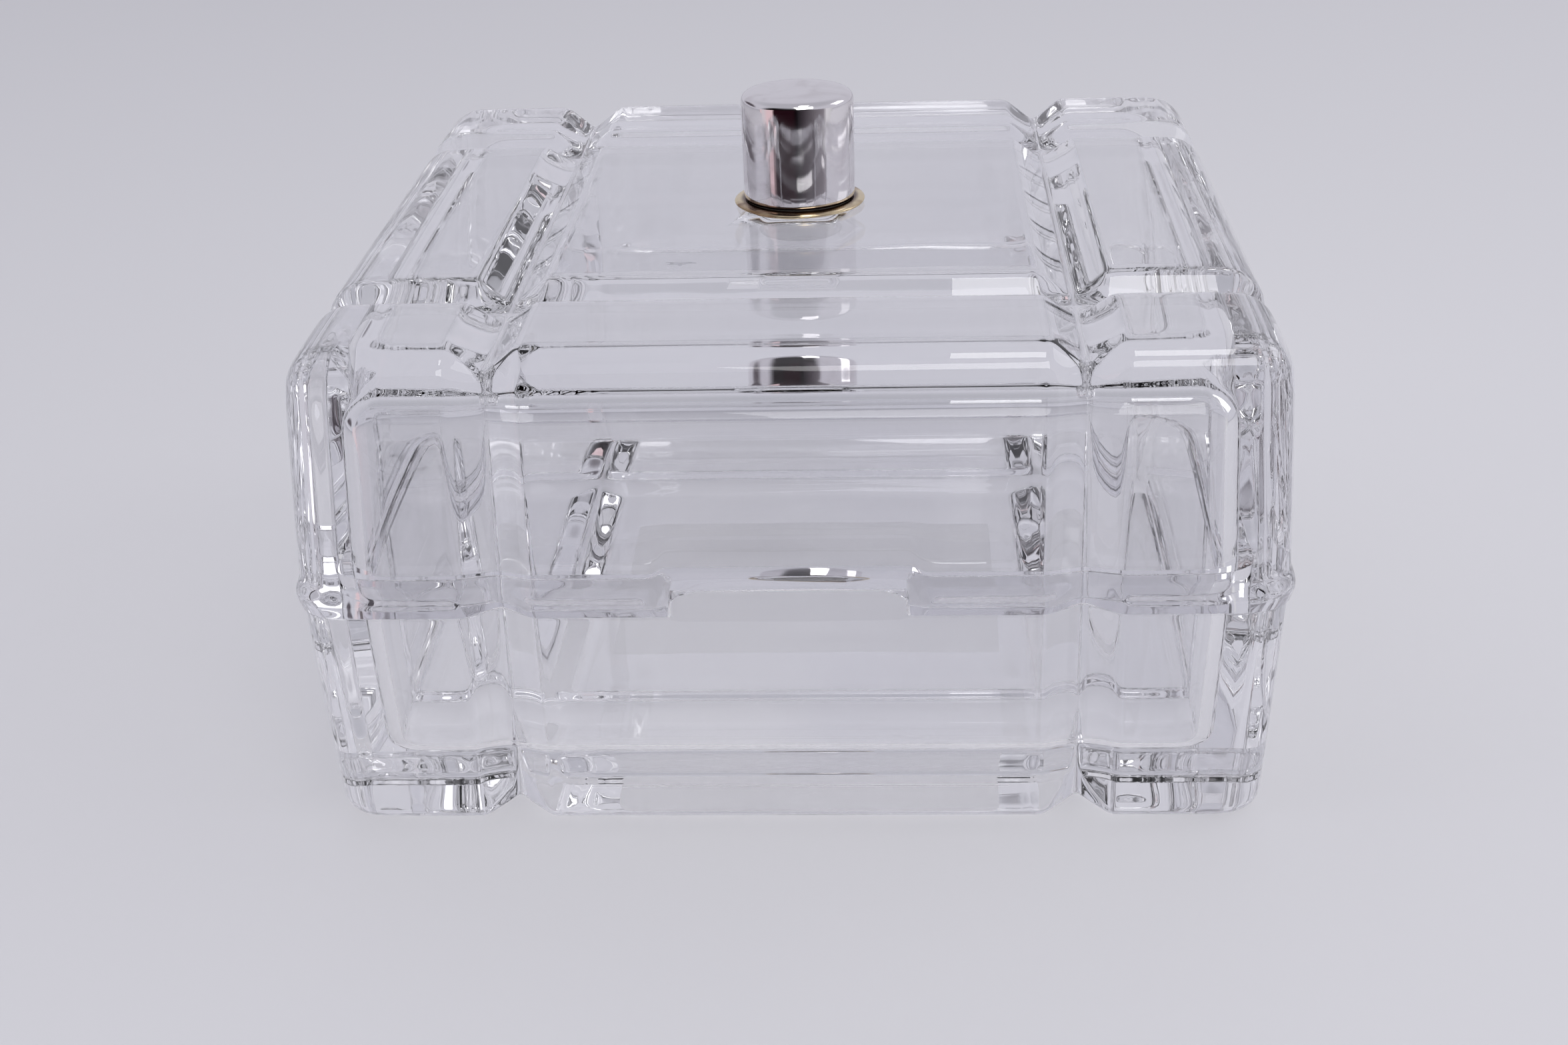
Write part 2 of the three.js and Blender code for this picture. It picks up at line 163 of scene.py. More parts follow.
def press_grooves(depth, mouth_z):
    """Sink the grooves' bottoms and their softened edges, then lay the mouth level again."""
    select("VERT", lambda co: near(from_groove(co), VALLEY))
    bpy.ops.transform.shrink_fatten(value=-depth)
    shallow = GROOVE_HALF_WIDTH - ARRIS
    select("VERT", lambda co: near(from_groove(co), shallow, 2e-5))
    bpy.ops.transform.shrink_fatten(value=-depth * ARRIS / GROOVE_HALF_WIDTH)
    select("VERT", lambda co: near(co.z, mouth_z, 10 * MOUTH_REACH))
    resize_about((1, 1, 0), (0, 0, mouth_z))


def open_loop(z):
    """Select the open edges at a height."""
    select("EDGE", lambda co, edge: edge.is_boundary and near(co.z, z, 1e-5))


def step_mouth(steps, half, z):
    """Extrude the inner face's open loop through (half-width, height) steps."""
    for next_half, next_z in steps:
        bpy.ops.mesh.extrude_edges_move()
        factor = next_half / half
        resize_about((factor, factor, 1), (0, 0, z))
        bpy.ops.transform.translate(value=(0, 0, next_z - z))
        half, z = next_half, next_z


def join_shell(outer, inner, name):
    """Put the inner face, turned inside out, into the outer one's mesh."""
    bpy.ops.mesh.select_all(action="SELECT")
    bpy.ops.object.mode_set(mode="OBJECT")
    bpy.ops.object.select_all(action="DESELECT")
    outer.select_set(True)
    inner.select_set(True)
    bpy.context.view_layer.objects.active = outer
    bpy.ops.object.join()
    outer.name = name
    return outer


def lift_front(half_width, rows, rise):
    """Raise the mouth's rows at the middle of the front, and weld what then meets."""
    def test(co):
        return abs(co.x) < half_width and co.y < FRONT_FACE and rows(co.z)
    select("VERT", test)
    bpy.ops.transform.translate(value=(0, 0, rise))
    bpy.ops.mesh.select_all(action="SELECT")
    bpy.ops.mesh.remove_doubles(threshold=0.02 * MM)


def finish_shell(shell, levels):
    """Round the mouth's square edges, smooth the whole face and make it real."""
    bpy.ops.mesh.select_all(action="SELECT")
    bpy.ops.mesh.normals_make_consistent(inside=False)
    bpy.ops.object.mode_set(mode="OBJECT")
    soften = shell.modifiers.new("mouth edges", "BEVEL")
    soften.width = MOUTH_EDGE
    soften.segments = 2
    soften.limit_method = "ANGLE"
    soften.angle_limit = math.radians(50)
    smooth = shell.modifiers.new("fire polish", "SUBSURF")
    smooth.levels = smooth.render_levels = levels
    for modifier in ("mouth edges", "fire polish"):
        bpy.ops.object.modifier_apply(modifier=modifier)
    bpy.ops.object.shade_smooth()


def both_sides(lines, share=1.0):
    return [side * line * share for side in (-1, 1) for line in lines]


base_groove_cuts = groove_cuts()
tab_lines = (TAB_HALF_WIDTH - TAB_STEP, TAB_HALF_WIDTH + TAB_STEP, TAB_HALF_WIDTH + TAB_ROOT)
base_mouth = PARTING - SEAT_GAP
base_foot_half = BASE_HALF - BASE_LEAN * PARTING
base_inner_half = BASE_HALF - BASE_WALL
base_tongue_half = base_inner_half + TONGUE
base_floor_half = base_inner_half - BASE_INNER_LEAN * (TONGUE_TOP - FLOOR)

tray = add_shell_face("base_outer", (BASE_HALF, base_mouth), (base_foot_half, 0), CORNER, FOOT_ROUND, 3,
                      base_groove_cuts + both_sides(tab_lines), base_groove_cuts,
                      (PARTING - EDGE_SUPPORT, PARTING - 8 * MM, FOOT_ROUND + FLAT_SUPPORT))
press_grooves(BASE_GROOVE, base_mouth)
bpy.ops.object.mode_set(mode="OBJECT")
well = add_shell_face("base_inner", (base_inner_half, TONGUE_TOP), (base_floor_half, FLOOR),
                      INNER_CORNER, FLOOR_FILLET, 3,
                      base_groove_cuts + both_sides(tab_lines, base_inner_half / base_tongue_half),
                      base_groove_cuts,
                      (TONGUE_TOP - EDGE_SUPPORT, FLOOR + FLOOR_FILLET + EDGE_SUPPORT))
bpy.ops.mesh.select_all(action="SELECT")
bpy.ops.mesh.flip_normals()
open_loop(TONGUE_TOP)
step_mouth([(base_tongue_half, TONGUE_TOP), (base_tongue_half, base_mouth)], base_inner_half, TONGUE_TOP)
tray = join_shell(tray, well, "base_tray_glass")
bpy.ops.object.mode_set(mode="EDIT")
open_loop(base_mouth)
bpy.ops.mesh.bridge_edge_loops()
lift_front(TAB_HALF_WIDTH, lambda z: near(z, base_mouth, MOUTH_REACH), TONGUE_TOP - base_mouth)
finish_shell(tray, 2)


def finish_group(name, inputs):
    """A node group for a finish, with the given inputs; it gives a colour, a roughness and a normal."""
    group = bpy.data.node_groups.new(name, "ShaderNodeTree")
    for socket, kind in inputs:
        group.interface.new_socket(name=socket, in_out="INPUT", socket_type="NodeSocket" + kind)
    for socket, kind in (("Color", "Color"), ("Roughness", "Float"), ("Normal", "Vector")):
        group.interface.new_socket(name=socket, in_out="OUTPUT", socket_type="NodeSocket" + kind)
    return group


def add_node(tree, kind, values=None, **settings):
    """Add a node, with its settings and the values of its unlinked inputs."""
    node = tree.nodes.new("ShaderNode" + kind)
    for setting, value in settings.items():
        setattr(node, setting, value)
    for socket, value in (values or {}).items():
        node.inputs[socket].default_value = value
    return node


def join_nodes(tree, *pairs):
    for source, target in pairs:
        tree.links.new(source, target)


def blend(tree, fraction, low, high):
    """Mix two colours, or two values, by a fraction that varies over the surface."""
    mix = add_node(tree, "Mix", data_type="RGBA")
    for socket, given in ((mix.inputs["Factor"], fraction), (mix.inputs[6], low), (mix.inputs[7], high)):
        if isinstance(given, bpy.types.NodeSocket):
            tree.links.new(given, socket)
        else:
            socket.default_value = given
    return mix.outputs[2]


def ramp(tree, source, low, high):
    """Stretch a value so that low becomes 0 and high becomes 1."""
    stretch = add_node(tree, "MapRange", {"From Min": low, "From Max": high},
                       interpolation_type="SMOOTHSTEP")
    tree.links.new(source, stretch.inputs["Value"])
    return stretch.outputs["Result"]


# Pressed glass keeps a slow waviness from the mould, and gathers faint smears of handling
pressed_glass = finish_group("pressed glass", (("Wave depth", "Float"), ("Wave scale", "Float"),
                                               ("Smear", "Float"), ("Clear", "Color"), ("Thick", "Color")))
RIPPLE_SHARE = 0.006                 # of the waviness, as a fine ripple
tree = pressed_glass
given = add_node(tree, "TexCoord")
put_in = tree.nodes.new("NodeGroupInput")
put_out = tree.nodes.new("NodeGroupOutput")
wave = add_node(tree, "TexNoise", {"Detail": 1.0, "Roughness": 0.4})
ripple = add_node(tree, "TexNoise", {"Scale": 420.0, "Detail": 2.0})
smear = add_node(tree, "TexNoise", {"Scale": 55.0, "Detail": 5.0, "Distortion": 1.6})
cloud = add_node(tree, "TexNoise", {"Scale": 30.0, "Detail": 2.0})
relief = add_node(tree, "Math", {1: RIPPLE_SHARE}, operation="MULTIPLY_ADD")
bump = add_node(tree, "Bump", {"Strength": 1.0})
smeared = ramp(tree, smear.outputs["Fac"], 0.56, 0.72)
haze = add_node(tree, "Math", operation="MULTIPLY")
clouded = ramp(tree, cloud.outputs["Fac"], 0.35, 0.7)
tint = blend(tree, clouded, put_in.outputs["Clear"], put_in.outputs["Thick"])
join_nodes(tree,
           (given.outputs["Object"], wave.inputs["Vector"]),
           (put_in.outputs["Wave scale"], wave.inputs["Scale"]),
           (given.outputs["Object"], ripple.inputs["Vector"]),
           (given.outputs["Object"], smear.inputs["Vector"]),
           (given.outputs["Object"], cloud.inputs["Vector"]),
           (ripple.outputs["Fac"], relief.inputs[0]),
           (wave.outputs["Fac"], relief.inputs[2]),
           (relief.outputs[0], bump.inputs["Height"]),
           (put_in.outputs["Wave depth"], bump.inputs["Distance"]),
           (smeared, haze.inputs[0]),
           (put_in.outputs["Smear"], haze.inputs[1]),
           (tint, put_out.inputs["Color"]),
           (haze.outputs[0], put_out.inputs["Roughness"]),
           (bump.outputs["Normal"], put_out.inputs["Normal"]))


def clear_glass(name, clear, thick, wave_depth, wave_scale, smear):
    """Clear glass. Lamp light passes straight through it, as it nearly does through parallel faces."""
    glass = bpy.data.materials.new(name)
    glass.use_nodes = True
    tree = glass.node_tree
    shader = tree.nodes["Principled BSDF"]
    shader.inputs["Transmission Weight"].default_value = 1
    shader.inputs["IOR"].default_value = 1.5
    surface = add_node(tree, "Group", node_tree=pressed_glass)
    for socket, value in (("Clear", clear), ("Thick", thick), ("Wave depth", wave_depth),
                          ("Wave scale", wave_scale), ("Smear", smear)):
        surface.inputs[socket].default_value = value
    through = add_node(tree, "BsdfTransparent", {"Color": (0.89, 0.89, 0.90, 1)})
    path = add_node(tree, "LightPath")
    either = add_node(tree, "MixShader")
    join_nodes(tree, (surface.outputs["Color"], shader.inputs["Base Color"]),
               (surface.outputs["Roughness"], shader.inputs["Roughness"]),
               (surface.outputs["Normal"], shader.inputs["Normal"]),
               (path.outputs["Is Shadow Ray"], either.inputs[0]), (shader.outputs[0], either.inputs[1]),
               (through.outputs[0], either.inputs[2]),
               (either.outputs[0], tree.nodes["Material Output"].inputs["Surface"]))
    return glass


tray.data.materials.clear()
tray.data.materials.append(clear_glass(
    "base glass", clear=(0.965, 0.965, 0.97, 1), thick=(0.93, 0.93, 0.945, 1),
    wave_depth=0.022 * MM, wave_scale=75.0, smear=0.05))
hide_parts("base_tray")
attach(tray, "base")

# ---- Lid shell ---------------------------------------------------------------------------------
# The upper half: the same clear pressed glass, with the grooves crossing on its top. A rolled bead
# stiffens its lip, and climbs over the notch that drops onto the base's tab.

LID_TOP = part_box("knob_collar")[0][2]
LID_GROOVE = 2.7 * MM
LID_LEAN = math.tan(math.radians(2.4))
LID_ROUND = 4.5 * MM
LIP_PROUD = 0.45 * MM
BEAD_RISE = 3.7 * MM
LID_WALL = 5.15 * MM
LID_INNER_LEAN = math.tan(math.radians(2.0))
CEILING = 6.0 * MM
CEILING_FILLET = 3.4 * MM
FIT = 0.3 * MM                       # air between the tongue and the rebate
NOTCH_HALF_WIDTH = TAB_HALF_WIDTH + FIT
WALL_SUPPORTS = (8.5 * MM, 16 * MM)  # rows up the wall, clear of the bead and of the notch

lid_mouth = PARTING + SEAT_GAP
rebate_top = TONGUE_TOP + FIT
rebate_half = base_tongue_half + FIT
lid_foot_half = LIP_HALF - LIP_PROUD + LID_LEAN * BEAD_RISE
lid_top_half = LIP_HALF - LIP_PROUD - LID_LEAN * (LID_TOP - PARTING - BEAD_RISE)
lid_inner_half = LIP_HALF - LIP_PROUD - LID_WALL - LID_INNER_LEAN * (rebate_top - PARTING)
ceiling = LID_TOP - CEILING
ceiling_half = lid_inner_half - LID_INNER_LEAN * (ceiling - rebate_top)

# Lines across the front on which the bead climbs over the notch: steep at its mouth, an S higher up
climb = [NOTCH_HALF_WIDTH + step * MM for step in (-0.15, 0.15, 0.7, 1.4, 2.2, 3.2)]
CLIMB_SPREAD = 0.85                  # how far the S spreads outwards for each step up the bead
ROW_REACH = 0.06 * MM                # takes in one row up the bead and no other
# Rows up the bead: height above the mouth, and how far short of the ridge the row stays
BEAD_ROWS = ((0, 0.34), (0.45, 0.2), (1.0, 0.06), (1.45, 0), (1.75, 0.01), (2.1, 0.09), (2.5, 0.25),
             (2.9, 0.42), (3.3, 0.52), (3.7, 0.53))
bead_heights = [lid_mouth + rise * MM for rise, _ in BEAD_ROWS[1:]]

lid = add_shell_face("lid_outer", (lid_foot_half, lid_mouth), (lid_top_half, LID_TOP), CORNER, LID_ROUND,
                     5, groove_cuts() + both_sides(climb), groove_cuts(),
                     bead_heights + [PARTING + rise for rise in WALL_SUPPORTS])
press_grooves(LID_GROOVE, lid_mouth)
notch_rise = rebate_top - lid_mouth
for rise, short in reversed(BEAD_ROWS):
    height = lid_mouth + rise * MM
    select("VERT", lambda co: near(co.z, height, ROW_REACH))
    out = (LIP_HALF - short * MM) / (lid_foot_half - LID_LEAN * rise * MM)
    resize_about((out, out, 1), (0, 0, height))
    for line in climb:
        share = max(0, line - climb[0]) / (climb[1] - climb[0] + CLIMB_SPREAD * rise * MM)
        if rise == 0 or share >= 1:
            continue
        select("VERT", lambda co: near(co.z, height, ROW_REACH) and near(abs(co.x), line * out, MOUTH_REACH)
               and co.y < -rebate_half)
        bpy.ops.transform.translate(value=(0, 0, notch_rise * (0.5 + 0.5 * math.cos(math.pi * share))))
bpy.ops.object.mode_set(mode="OBJECT")
recess = add_shell_face("lid_inner", (lid_inner_half, rebate_top), (ceiling_half, ceiling),
                        INNER_CORNER, CEILING_FILLET, 4,
                        groove_cuts() + both_sides(climb, lid_inner_half / rebate_half), groove_cuts(),
                        (rebate_top + EDGE_SUPPORT, ceiling - CEILING_FILLET - EDGE_SUPPORT))
bpy.ops.mesh.select_all(action="SELECT")
bpy.ops.mesh.flip_normals()
open_loop(rebate_top)
step_mouth([(rebate_half, rebate_top), (rebate_half, lid_mouth)], lid_inner_half, rebate_top)
lid = join_shell(lid, recess, "lid_shell_glass")
bpy.ops.object.mode_set(mode="EDIT")
open_loop(lid_mouth)
bpy.ops.mesh.bridge_edge_loops()
lift_front(NOTCH_HALF_WIDTH, lambda z: near(z, lid_mouth, MOUTH_REACH), notch_rise)
finish_shell(lid, 2)

# The post that the knob is cemented to stands on the middle of the lid
POST_RADIUS = 4.8 * MM
POST_SIDES = 48
POST_ROOT = 2 * MM                   # sunk into the lid, to weld to it
POST_EDGE = 0.4 * MM
POST_TURN = math.radians(2)          # keeps the post's corners off the lid's own lines
POST_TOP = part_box("lid_shell")[1][2]
bpy.ops.object.select_all(action="DESELECT")
bpy.ops.mesh.primitive_cylinder_add(vertices=POST_SIDES, radius=POST_RADIUS,
                                    depth=POST_TOP - LID_TOP + POST_ROOT,
                                    location=(0, 0, (POST_TOP + LID_TOP - POST_ROOT) / 2),
                                    rotation=(0, 0, POST_TURN))
post = bpy.context.object
bpy.ops.object.transform_apply(location=True, rotation=True, scale=True)
bpy.ops.object.mode_set(mode="EDIT")
select("EDGE", lambda co, e: near(co.z, POST_TOP) and not is_upright(e))
bpy.ops.mesh.bevel(offset=POST_EDGE, segments=3, affect="EDGES")
bpy.ops.object.mode_set(mode="OBJECT")
bpy.context.view_layer.objects.active = lid
weld = lid.modifiers.new("post", "BOOLEAN")
weld.operation = "UNION"
weld.solver = "EXACT"
weld.object = post
bpy.ops.object.modifier_apply(modifier="post")
bpy.data.objects.remove(post)

lid.data.materials.clear()
lid.data.materials.append(clear_glass(
    "lid glass", clear=(0.94, 0.94, 0.95, 1), thick=(0.90, 0.90, 0.92, 1),
    wave_depth=0.02 * MM, wave_scale=68.0, smear=0.04))
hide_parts("lid_shell")
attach(lid, "lid")

# ---- Cement ------------------------------------------------------------------------------------
# Grey-white cement that fills the cap round the glass post and holds the whole knob to the lid. It
# sets rough and a little pitted, and is hidden once the cap is on.

KNOB_SIDES = 96
CEMENT_EDGE = 0.2 * MM
CEMENT_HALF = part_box("knob_cement")[1][0]
CEMENT_FOOT, CEMENT_CROWN = (corner[2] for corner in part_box("knob_cement"))
POST_GAP = 0.02 * MM


def turn_piece(name, radius, z, steps, close):
    """A turned piece, extruded through (radius, height) steps: a ring that meets itself again if close
    is true, or a cup that starts and ends in a disc."""
    bpy.ops.object.select_all(action="DESELECT")
    bpy.ops.mesh.primitive_circle_add(vertices=KNOB_SIDES, radius=radius, location=(0, 0, z),
                                      fill_type="NOTHING" if close else "NGON")
    bpy.context.object.name = name
    bpy.ops.object.transform_apply(location=True, rotation=True, scale=True)
    bpy.ops.object.mode_set(mode="EDIT")
    select("EDGE", lambda co, e: True)
    if not close:
        bpy.ops.mesh.select_mode(type="EDGE")
    step_mouth(steps, radius, z)
    if close:
        bpy.ops.mesh.select_all(action="SELECT")
        bpy.ops.mesh.remove_doubles(threshold=0.005 * MM)
    else:
        bpy.ops.mesh.edge_face_add()
        select("FACE", lambda co, f: len(f.verts) > 4)
        bpy.ops.mesh.poke()
    bpy.ops.mesh.select_all(action="SELECT")
    bpy.ops.mesh.normals_make_consistent(inside=False)
    bpy.ops.object.mode_set(mode="OBJECT")
    return bpy.context.object


def smooth_piece(piece, levels):
    smooth = piece.modifiers.new("smooth", "SUBSURF")
    smooth.levels = smooth.render_levels = levels
    bpy.ops.object.modifier_apply(modifier="smooth")
    bpy.ops.object.shade_smooth()


cement = turn_piece("knob_cement_fill", POST_RADIUS + POST_GAP, POST_TOP + POST_GAP,
                    [(POST_RADIUS + POST_GAP, CEMENT_FOOT), (CEMENT_HALF, CEMENT_FOOT),
                     (CEMENT_HALF, CEMENT_CROWN - CEMENT_EDGE), (CEMENT_HALF - CEMENT_EDGE, CEMENT_CROWN)],
                    close=False)
bpy.ops.object.shade_smooth_by_angle(angle=math.radians(35))

set_cement = bpy.data.materials.new("set cement")
set_cement.use_nodes = True
tree = set_cement.node_tree
paste = tree.nodes["Principled BSDF"]
given = add_node(tree, "TexCoord")
grit = add_node(tree, "TexNoise", {"Scale": 2600.0, "Detail": 4.0})
pit = add_node(tree, "TexVoronoi", {"Scale": 900.0})
relief = add_node(tree, "Bump", {"Strength": 0.6, "Distance": 0.05 * MM})
join_nodes(tree,
           (given.outputs["Object"], grit.inputs["Vector"]),
           (given.outputs["Object"], pit.inputs["Vector"]),
           (grit.outputs["Fac"], relief.inputs["Height"]),
           (relief.outputs["Normal"], paste.inputs["Normal"]),
           (blend(tree, grit.outputs["Fac"], (0.62, 0.59, 0.52, 1), (0.82, 0.80, 0.74, 1)),
            paste.inputs["Base Color"]),
           (ramp(tree, pit.outputs["Distance"], -0.4, 0.5), paste.inputs["Roughness"]))
cement.data.materials.append(set_cement)
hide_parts("knob_cement")
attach(cement, "lid")

# ---- Collar ------------------------------------------------------------------------------------
# A thin stamped ring under the cap. Its plating has worn through to the brass at the edge, where
# fingers catch it. A dark band is painted against the cap, as painted shade in the crease there.

COLLAR_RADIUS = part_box("knob_collar")[1][0]
COLLAR_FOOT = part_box("knob_collar")[0][2]
CAP_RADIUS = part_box("knob_cap")[1][0]
CAP_WALL = 0.6 * MM
collar_bore = CAP_RADIUS - CAP_WALL

# The dished ring, from its underside outwards and back over its top: millimetres past the bore, and up
collar_profile = ((0.9, 0.01), (1.35, 0.16), (1.62, 0.28), (1.70, 0.42), (1.64, 0.56), (1.4, 0.64),
                  (0.9, 0.68), (0.6, 0.76), (0, 0.76), (0, 0.01))
collar = turn_piece("knob_collar_ring", collar_bore, COLLAR_FOOT + 0.01 * MM,
                    [(collar_bore + out * MM, COLLAR_FOOT + rise * MM) for out, rise in collar_profile],
                    close=True)
bpy.ops.object.mode_set(mode="EDIT")
# The thin edge has been knocked a little out of flat in a few places
THIN_EDGE = 0.45 * MM
for turned_to, spread, lift in ((205, 26, 0.03), (250, 20, -0.05), (295, 24, 0.03), (20, 40, 0.02)):
    def knocked(co):
        away = (math.degrees(math.atan2(co.y, co.x)) - turned_to + 180) % 360 - 180
        return abs(away) < spread and math.hypot(co.x, co.y) > COLLAR_RADIUS - THIN_EDGE
    select("VERT", knocked)
    bpy.ops.transform.translate(value=(0, 0, lift * MM))
bpy.ops.object.mode_set(mode="OBJECT")
smooth_piece(collar, 2)

# Metal that is handled: fine scratches, soft dull patches and tarnish
handled_metal = finish_group("handled metal", (("Polished", "Color"), ("Tarnished", "Color"),
                                               ("Tarnish", "Float"), ("Gloss", "Float"),
                                               ("Scratch depth", "Float")))
PATCHINESS = 0.07                    # how much duller the dull patches are
SCRATCH_SHARE = 0.04                 # of the dents' depth
tree = handled_metal
put_in = tree.nodes.new("NodeGroupInput")
put_out = tree.nodes.new("NodeGroupOutput")
given = add_node(tree, "TexCoord")
patch = add_node(tree, "TexNoise", {"Scale": 260.0, "Detail": 4.0, "Distortion": 0.8})
lean = add_node(tree, "Mapping", {"Rotation": (0.35, 0.2, 0.6), "Scale": (1.0, 1.0, 0.06)})
scratch = add_node(tree, "TexNoise", {"Scale": 5200.0, "Detail": 2.0})
dent = add_node(tree, "TexNoise", {"Scale": 190.0, "Detail": 1.0})
dull = add_node(tree, "Math", {1: PATCHINESS}, operation="MULTIPLY_ADD")
spread_out = add_node(tree, "Math", operation="MULTIPLY")
relief = add_node(tree, "Math", {1: SCRATCH_SHARE}, operation="MULTIPLY_ADD")
bump = add_node(tree, "Bump", {"Strength": 1.0})
mixed = blend(tree, spread_out.outputs[0], put_in.outputs["Polished"], put_in.outputs["Tarnished"])
join_nodes(tree,
           (given.outputs["Object"], patch.inputs["Vector"]),
           (given.outputs["Object"], lean.inputs["Vector"]),
           (lean.outputs["Vector"], scratch.inputs["Vector"]),
           (given.outputs["Object"], dent.inputs["Vector"]),
           (ramp(tree, patch.outputs["Fac"], 0.42, 0.75), spread_out.inputs[0]),
           (put_in.outputs["Tarnish"], spread_out.inputs[1]),
           (patch.outputs["Fac"], dull.inputs[0]),
           (put_in.outputs["Gloss"], dull.inputs[2]),
           (scratch.outputs["Fac"], relief.inputs[0]),
           (dent.outputs["Fac"], relief.inputs[2]),
           (relief.outputs[0], bump.inputs["Height"]),
           (put_in.outputs["Scratch depth"], bump.inputs["Distance"]),
           (mixed, put_out.inputs["Color"]),
           (dull.outputs[0], put_out.inputs["Roughness"]),
           (bump.outputs["Normal"], put_out.inputs["Normal"]))


def metal_finish(name, polished, tarnished, tarnish, gloss, scratch_depth):
    """A metal material with the handled finish; gives back the material and its finish node."""
    metal = bpy.data.materials.new(name)
    metal.use_nodes = True
    tree = metal.node_tree
    shader = tree.nodes["Principled BSDF"]
    shader.inputs["Metallic"].default_value = 1
    finish = add_node(tree, "Group", node_tree=handled_metal)
    for socket, value in (("Polished", polished), ("Tarnished", tarnished), ("Tarnish", tarnish),
                          ("Gloss", gloss), ("Scratch depth", scratch_depth)):
        finish.inputs[socket].default_value = value
    join_nodes(tree, (finish.outputs["Color"], shader.inputs["Base Color"]),
               (finish.outputs["Roughness"], shader.inputs["Roughness"]),
               (finish.outputs["Normal"], shader.inputs["Normal"]))
    return metal, finish


brass_with_painted_shade, brass = metal_finish(
    "worn brass, painted crease shade", polished=(0.72, 0.60, 0.39, 1), tarnished=(0.24, 0.14, 0.075, 1),
    tarnish=0.95, gloss=0.12, scratch_depth=0.01 * MM)
tree = brass_with_painted_shade.node_tree
given = add_node(tree, "TexCoord")
flat = add_node(tree, "VectorMath", {1: (1, 1, 0)}, operation="MULTIPLY")
from_axis = add_node(tree, "VectorMath", operation="LENGTH")
join_nodes(tree, (given.outputs["Object"], flat.inputs[0]), (flat.outputs[0], from_axis.inputs[0]))
# Painted shade: the ring is darkened to near black within about half a millimetre of the cap
CREASE_START, CREASE_END = CAP_RADIUS - 0.05 * MM, CAP_RADIUS + 0.55 * MM
painted_crease_shade = ramp(tree, from_axis.outputs["Value"], CREASE_START, CREASE_END)
join_nodes(tree, (blend(tree, painted_crease_shade, (0.10, 0.055, 0.035, 1), brass.outputs["Color"]),
                  tree.nodes["Principled BSDF"].inputs["Base Color"]))
collar.data.materials.append(brass_with_painted_shade)
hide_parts("knob_collar")
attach(collar, "lid")

# ---- Knob cap ----------------------------------------------------------------------------------
# The knob that lifts the lid: a cup drawn from thin sheet, silver plated and polished. Its crown is
# very slightly domed, with a softly rounded edge.

CAP_FOOT, CAP_CROWN = (corner[2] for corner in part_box("knob_cap"))
CAP_MOUTH_EDGE = 0.3 * MM
# The crown, from the side inwards: millimetres in from the side, and below the very top
crown_profile = ((0, -1.3), (0.02, -0.98), (0.12, -0.64), (0.32, -0.38), (0.62, -0.21), (1.1, -0.13),
                 (2.2, -0.07), (4.0, -0.02))
cap = turn_piece("knob_cap_plate", collar_bore, CAP_CROWN - CAP_WALL,
                 [(collar_bore, CAP_FOOT + 0.1 * MM), (CAP_RADIUS - 0.08 * MM, CAP_FOOT),
                  (CAP_RADIUS, CAP_FOOT + CAP_MOUTH_EDGE)]
                 + [(CAP_RADIUS - inwards * MM, CAP_CROWN + fall * MM) for inwards, fall in crown_profile],
                 close=False)
smooth_piece(cap, 1)
silver_plate, _ = metal_finish(
    "silver plate", polished=(0.81, 0.785, 0.80, 1), tarnished=(0.50, 0.45, 0.46, 1),
    tarnish=0.35, gloss=0.05, scratch_depth=0.006 * MM)
cap.data.materials.append(silver_plate)
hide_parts("knob_cap")
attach(cap, "lid")

# ---- Stage -------------------------------------------------------------------------------------
# A plain pale floor in a soft, faintly violet room. The room is darker at the front, a little to the
# left, and holds something dark on the far left.

FLOOR_SIZE = 6
bpy.ops.object.select_all(action="DESELECT")
bpy.ops.mesh.primitive_plane_add(size=FLOOR_SIZE, location=(0, 0, 0))
floor = bpy.context.object
floor.name = "floor"
pale = bpy.data.materials.new("pale floor")
pale.use_nodes = True
paint = pale.node_tree.nodes["Principled BSDF"]
paint.inputs["Base Color"].default_value = (0.785, 0.78, 0.80, 1)
paint.inputs["Roughness"].default_value = 0.7
floor.data.materials.append(pale)

room = bpy.data.worlds.new("room")
bpy.context.scene.world = room
room.use_nodes = True
tree = room.node_tree
looked = add_node(tree, "TexCoord")
toward = add_node(tree, "SeparateXYZ")
join_nodes(tree, (looked.outputs["Generated"], toward.inputs[0]))


def facing(direction):
    """How nearly a part of the room lies in a direction: 1 straight in it, 0 square to it."""
    turned = add_node(tree, "VectorMath", {1: direction}, operation="DOT_PRODUCT")
    join_nodes(tree, (looked.outputs["Generated"], turned.inputs[0]))
    return turned.outputs["Value"]


WALLS, SKY = (0.62, 0.615, 0.68, 1), (0.49, 0.49, 0.54, 1)
DARK_FRONT, DARK_LEFT = (0.008, 0.005, 0.006, 1), (0.10, 0.085, 0.10, 1)
horizon = blend(tree, ramp(tree, facing((-0.3, -0.95, 0)), 0.72, 0.45), DARK_FRONT, WALLS)
horizon = blend(tree, ramp(tree, facing((-0.92, 0.39, 0.05)), 0.90, 0.965), horizon, DARK_LEFT)
horizon = blend(tree, ramp(tree, toward.outputs["Z"], 0.08, 0.2), WALLS, horizon)
sky = blend(tree, ramp(tree, toward.outputs["Z"], 0.5, 0.9), horizon, SKY)
join_nodes(tree, (sky, tree.nodes["Background"].inputs["Color"]))


def soft_lamp(name, place, aim, size, watts):
    """A broad lamp at a place, turned to face its aim."""
    bpy.ops.object.light_add(type="AREA", location=place)
    lamp = bpy.context.object
    lamp.name = name
    lamp.rotation_euler = (Vector(aim) - Vector(place)).to_track_quat("-Z", "Y").to_euler()
    lamp.data.shape = "RECTANGLE"
    lamp.data.size, lamp.data.size_y = size
    lamp.data.energy = watts


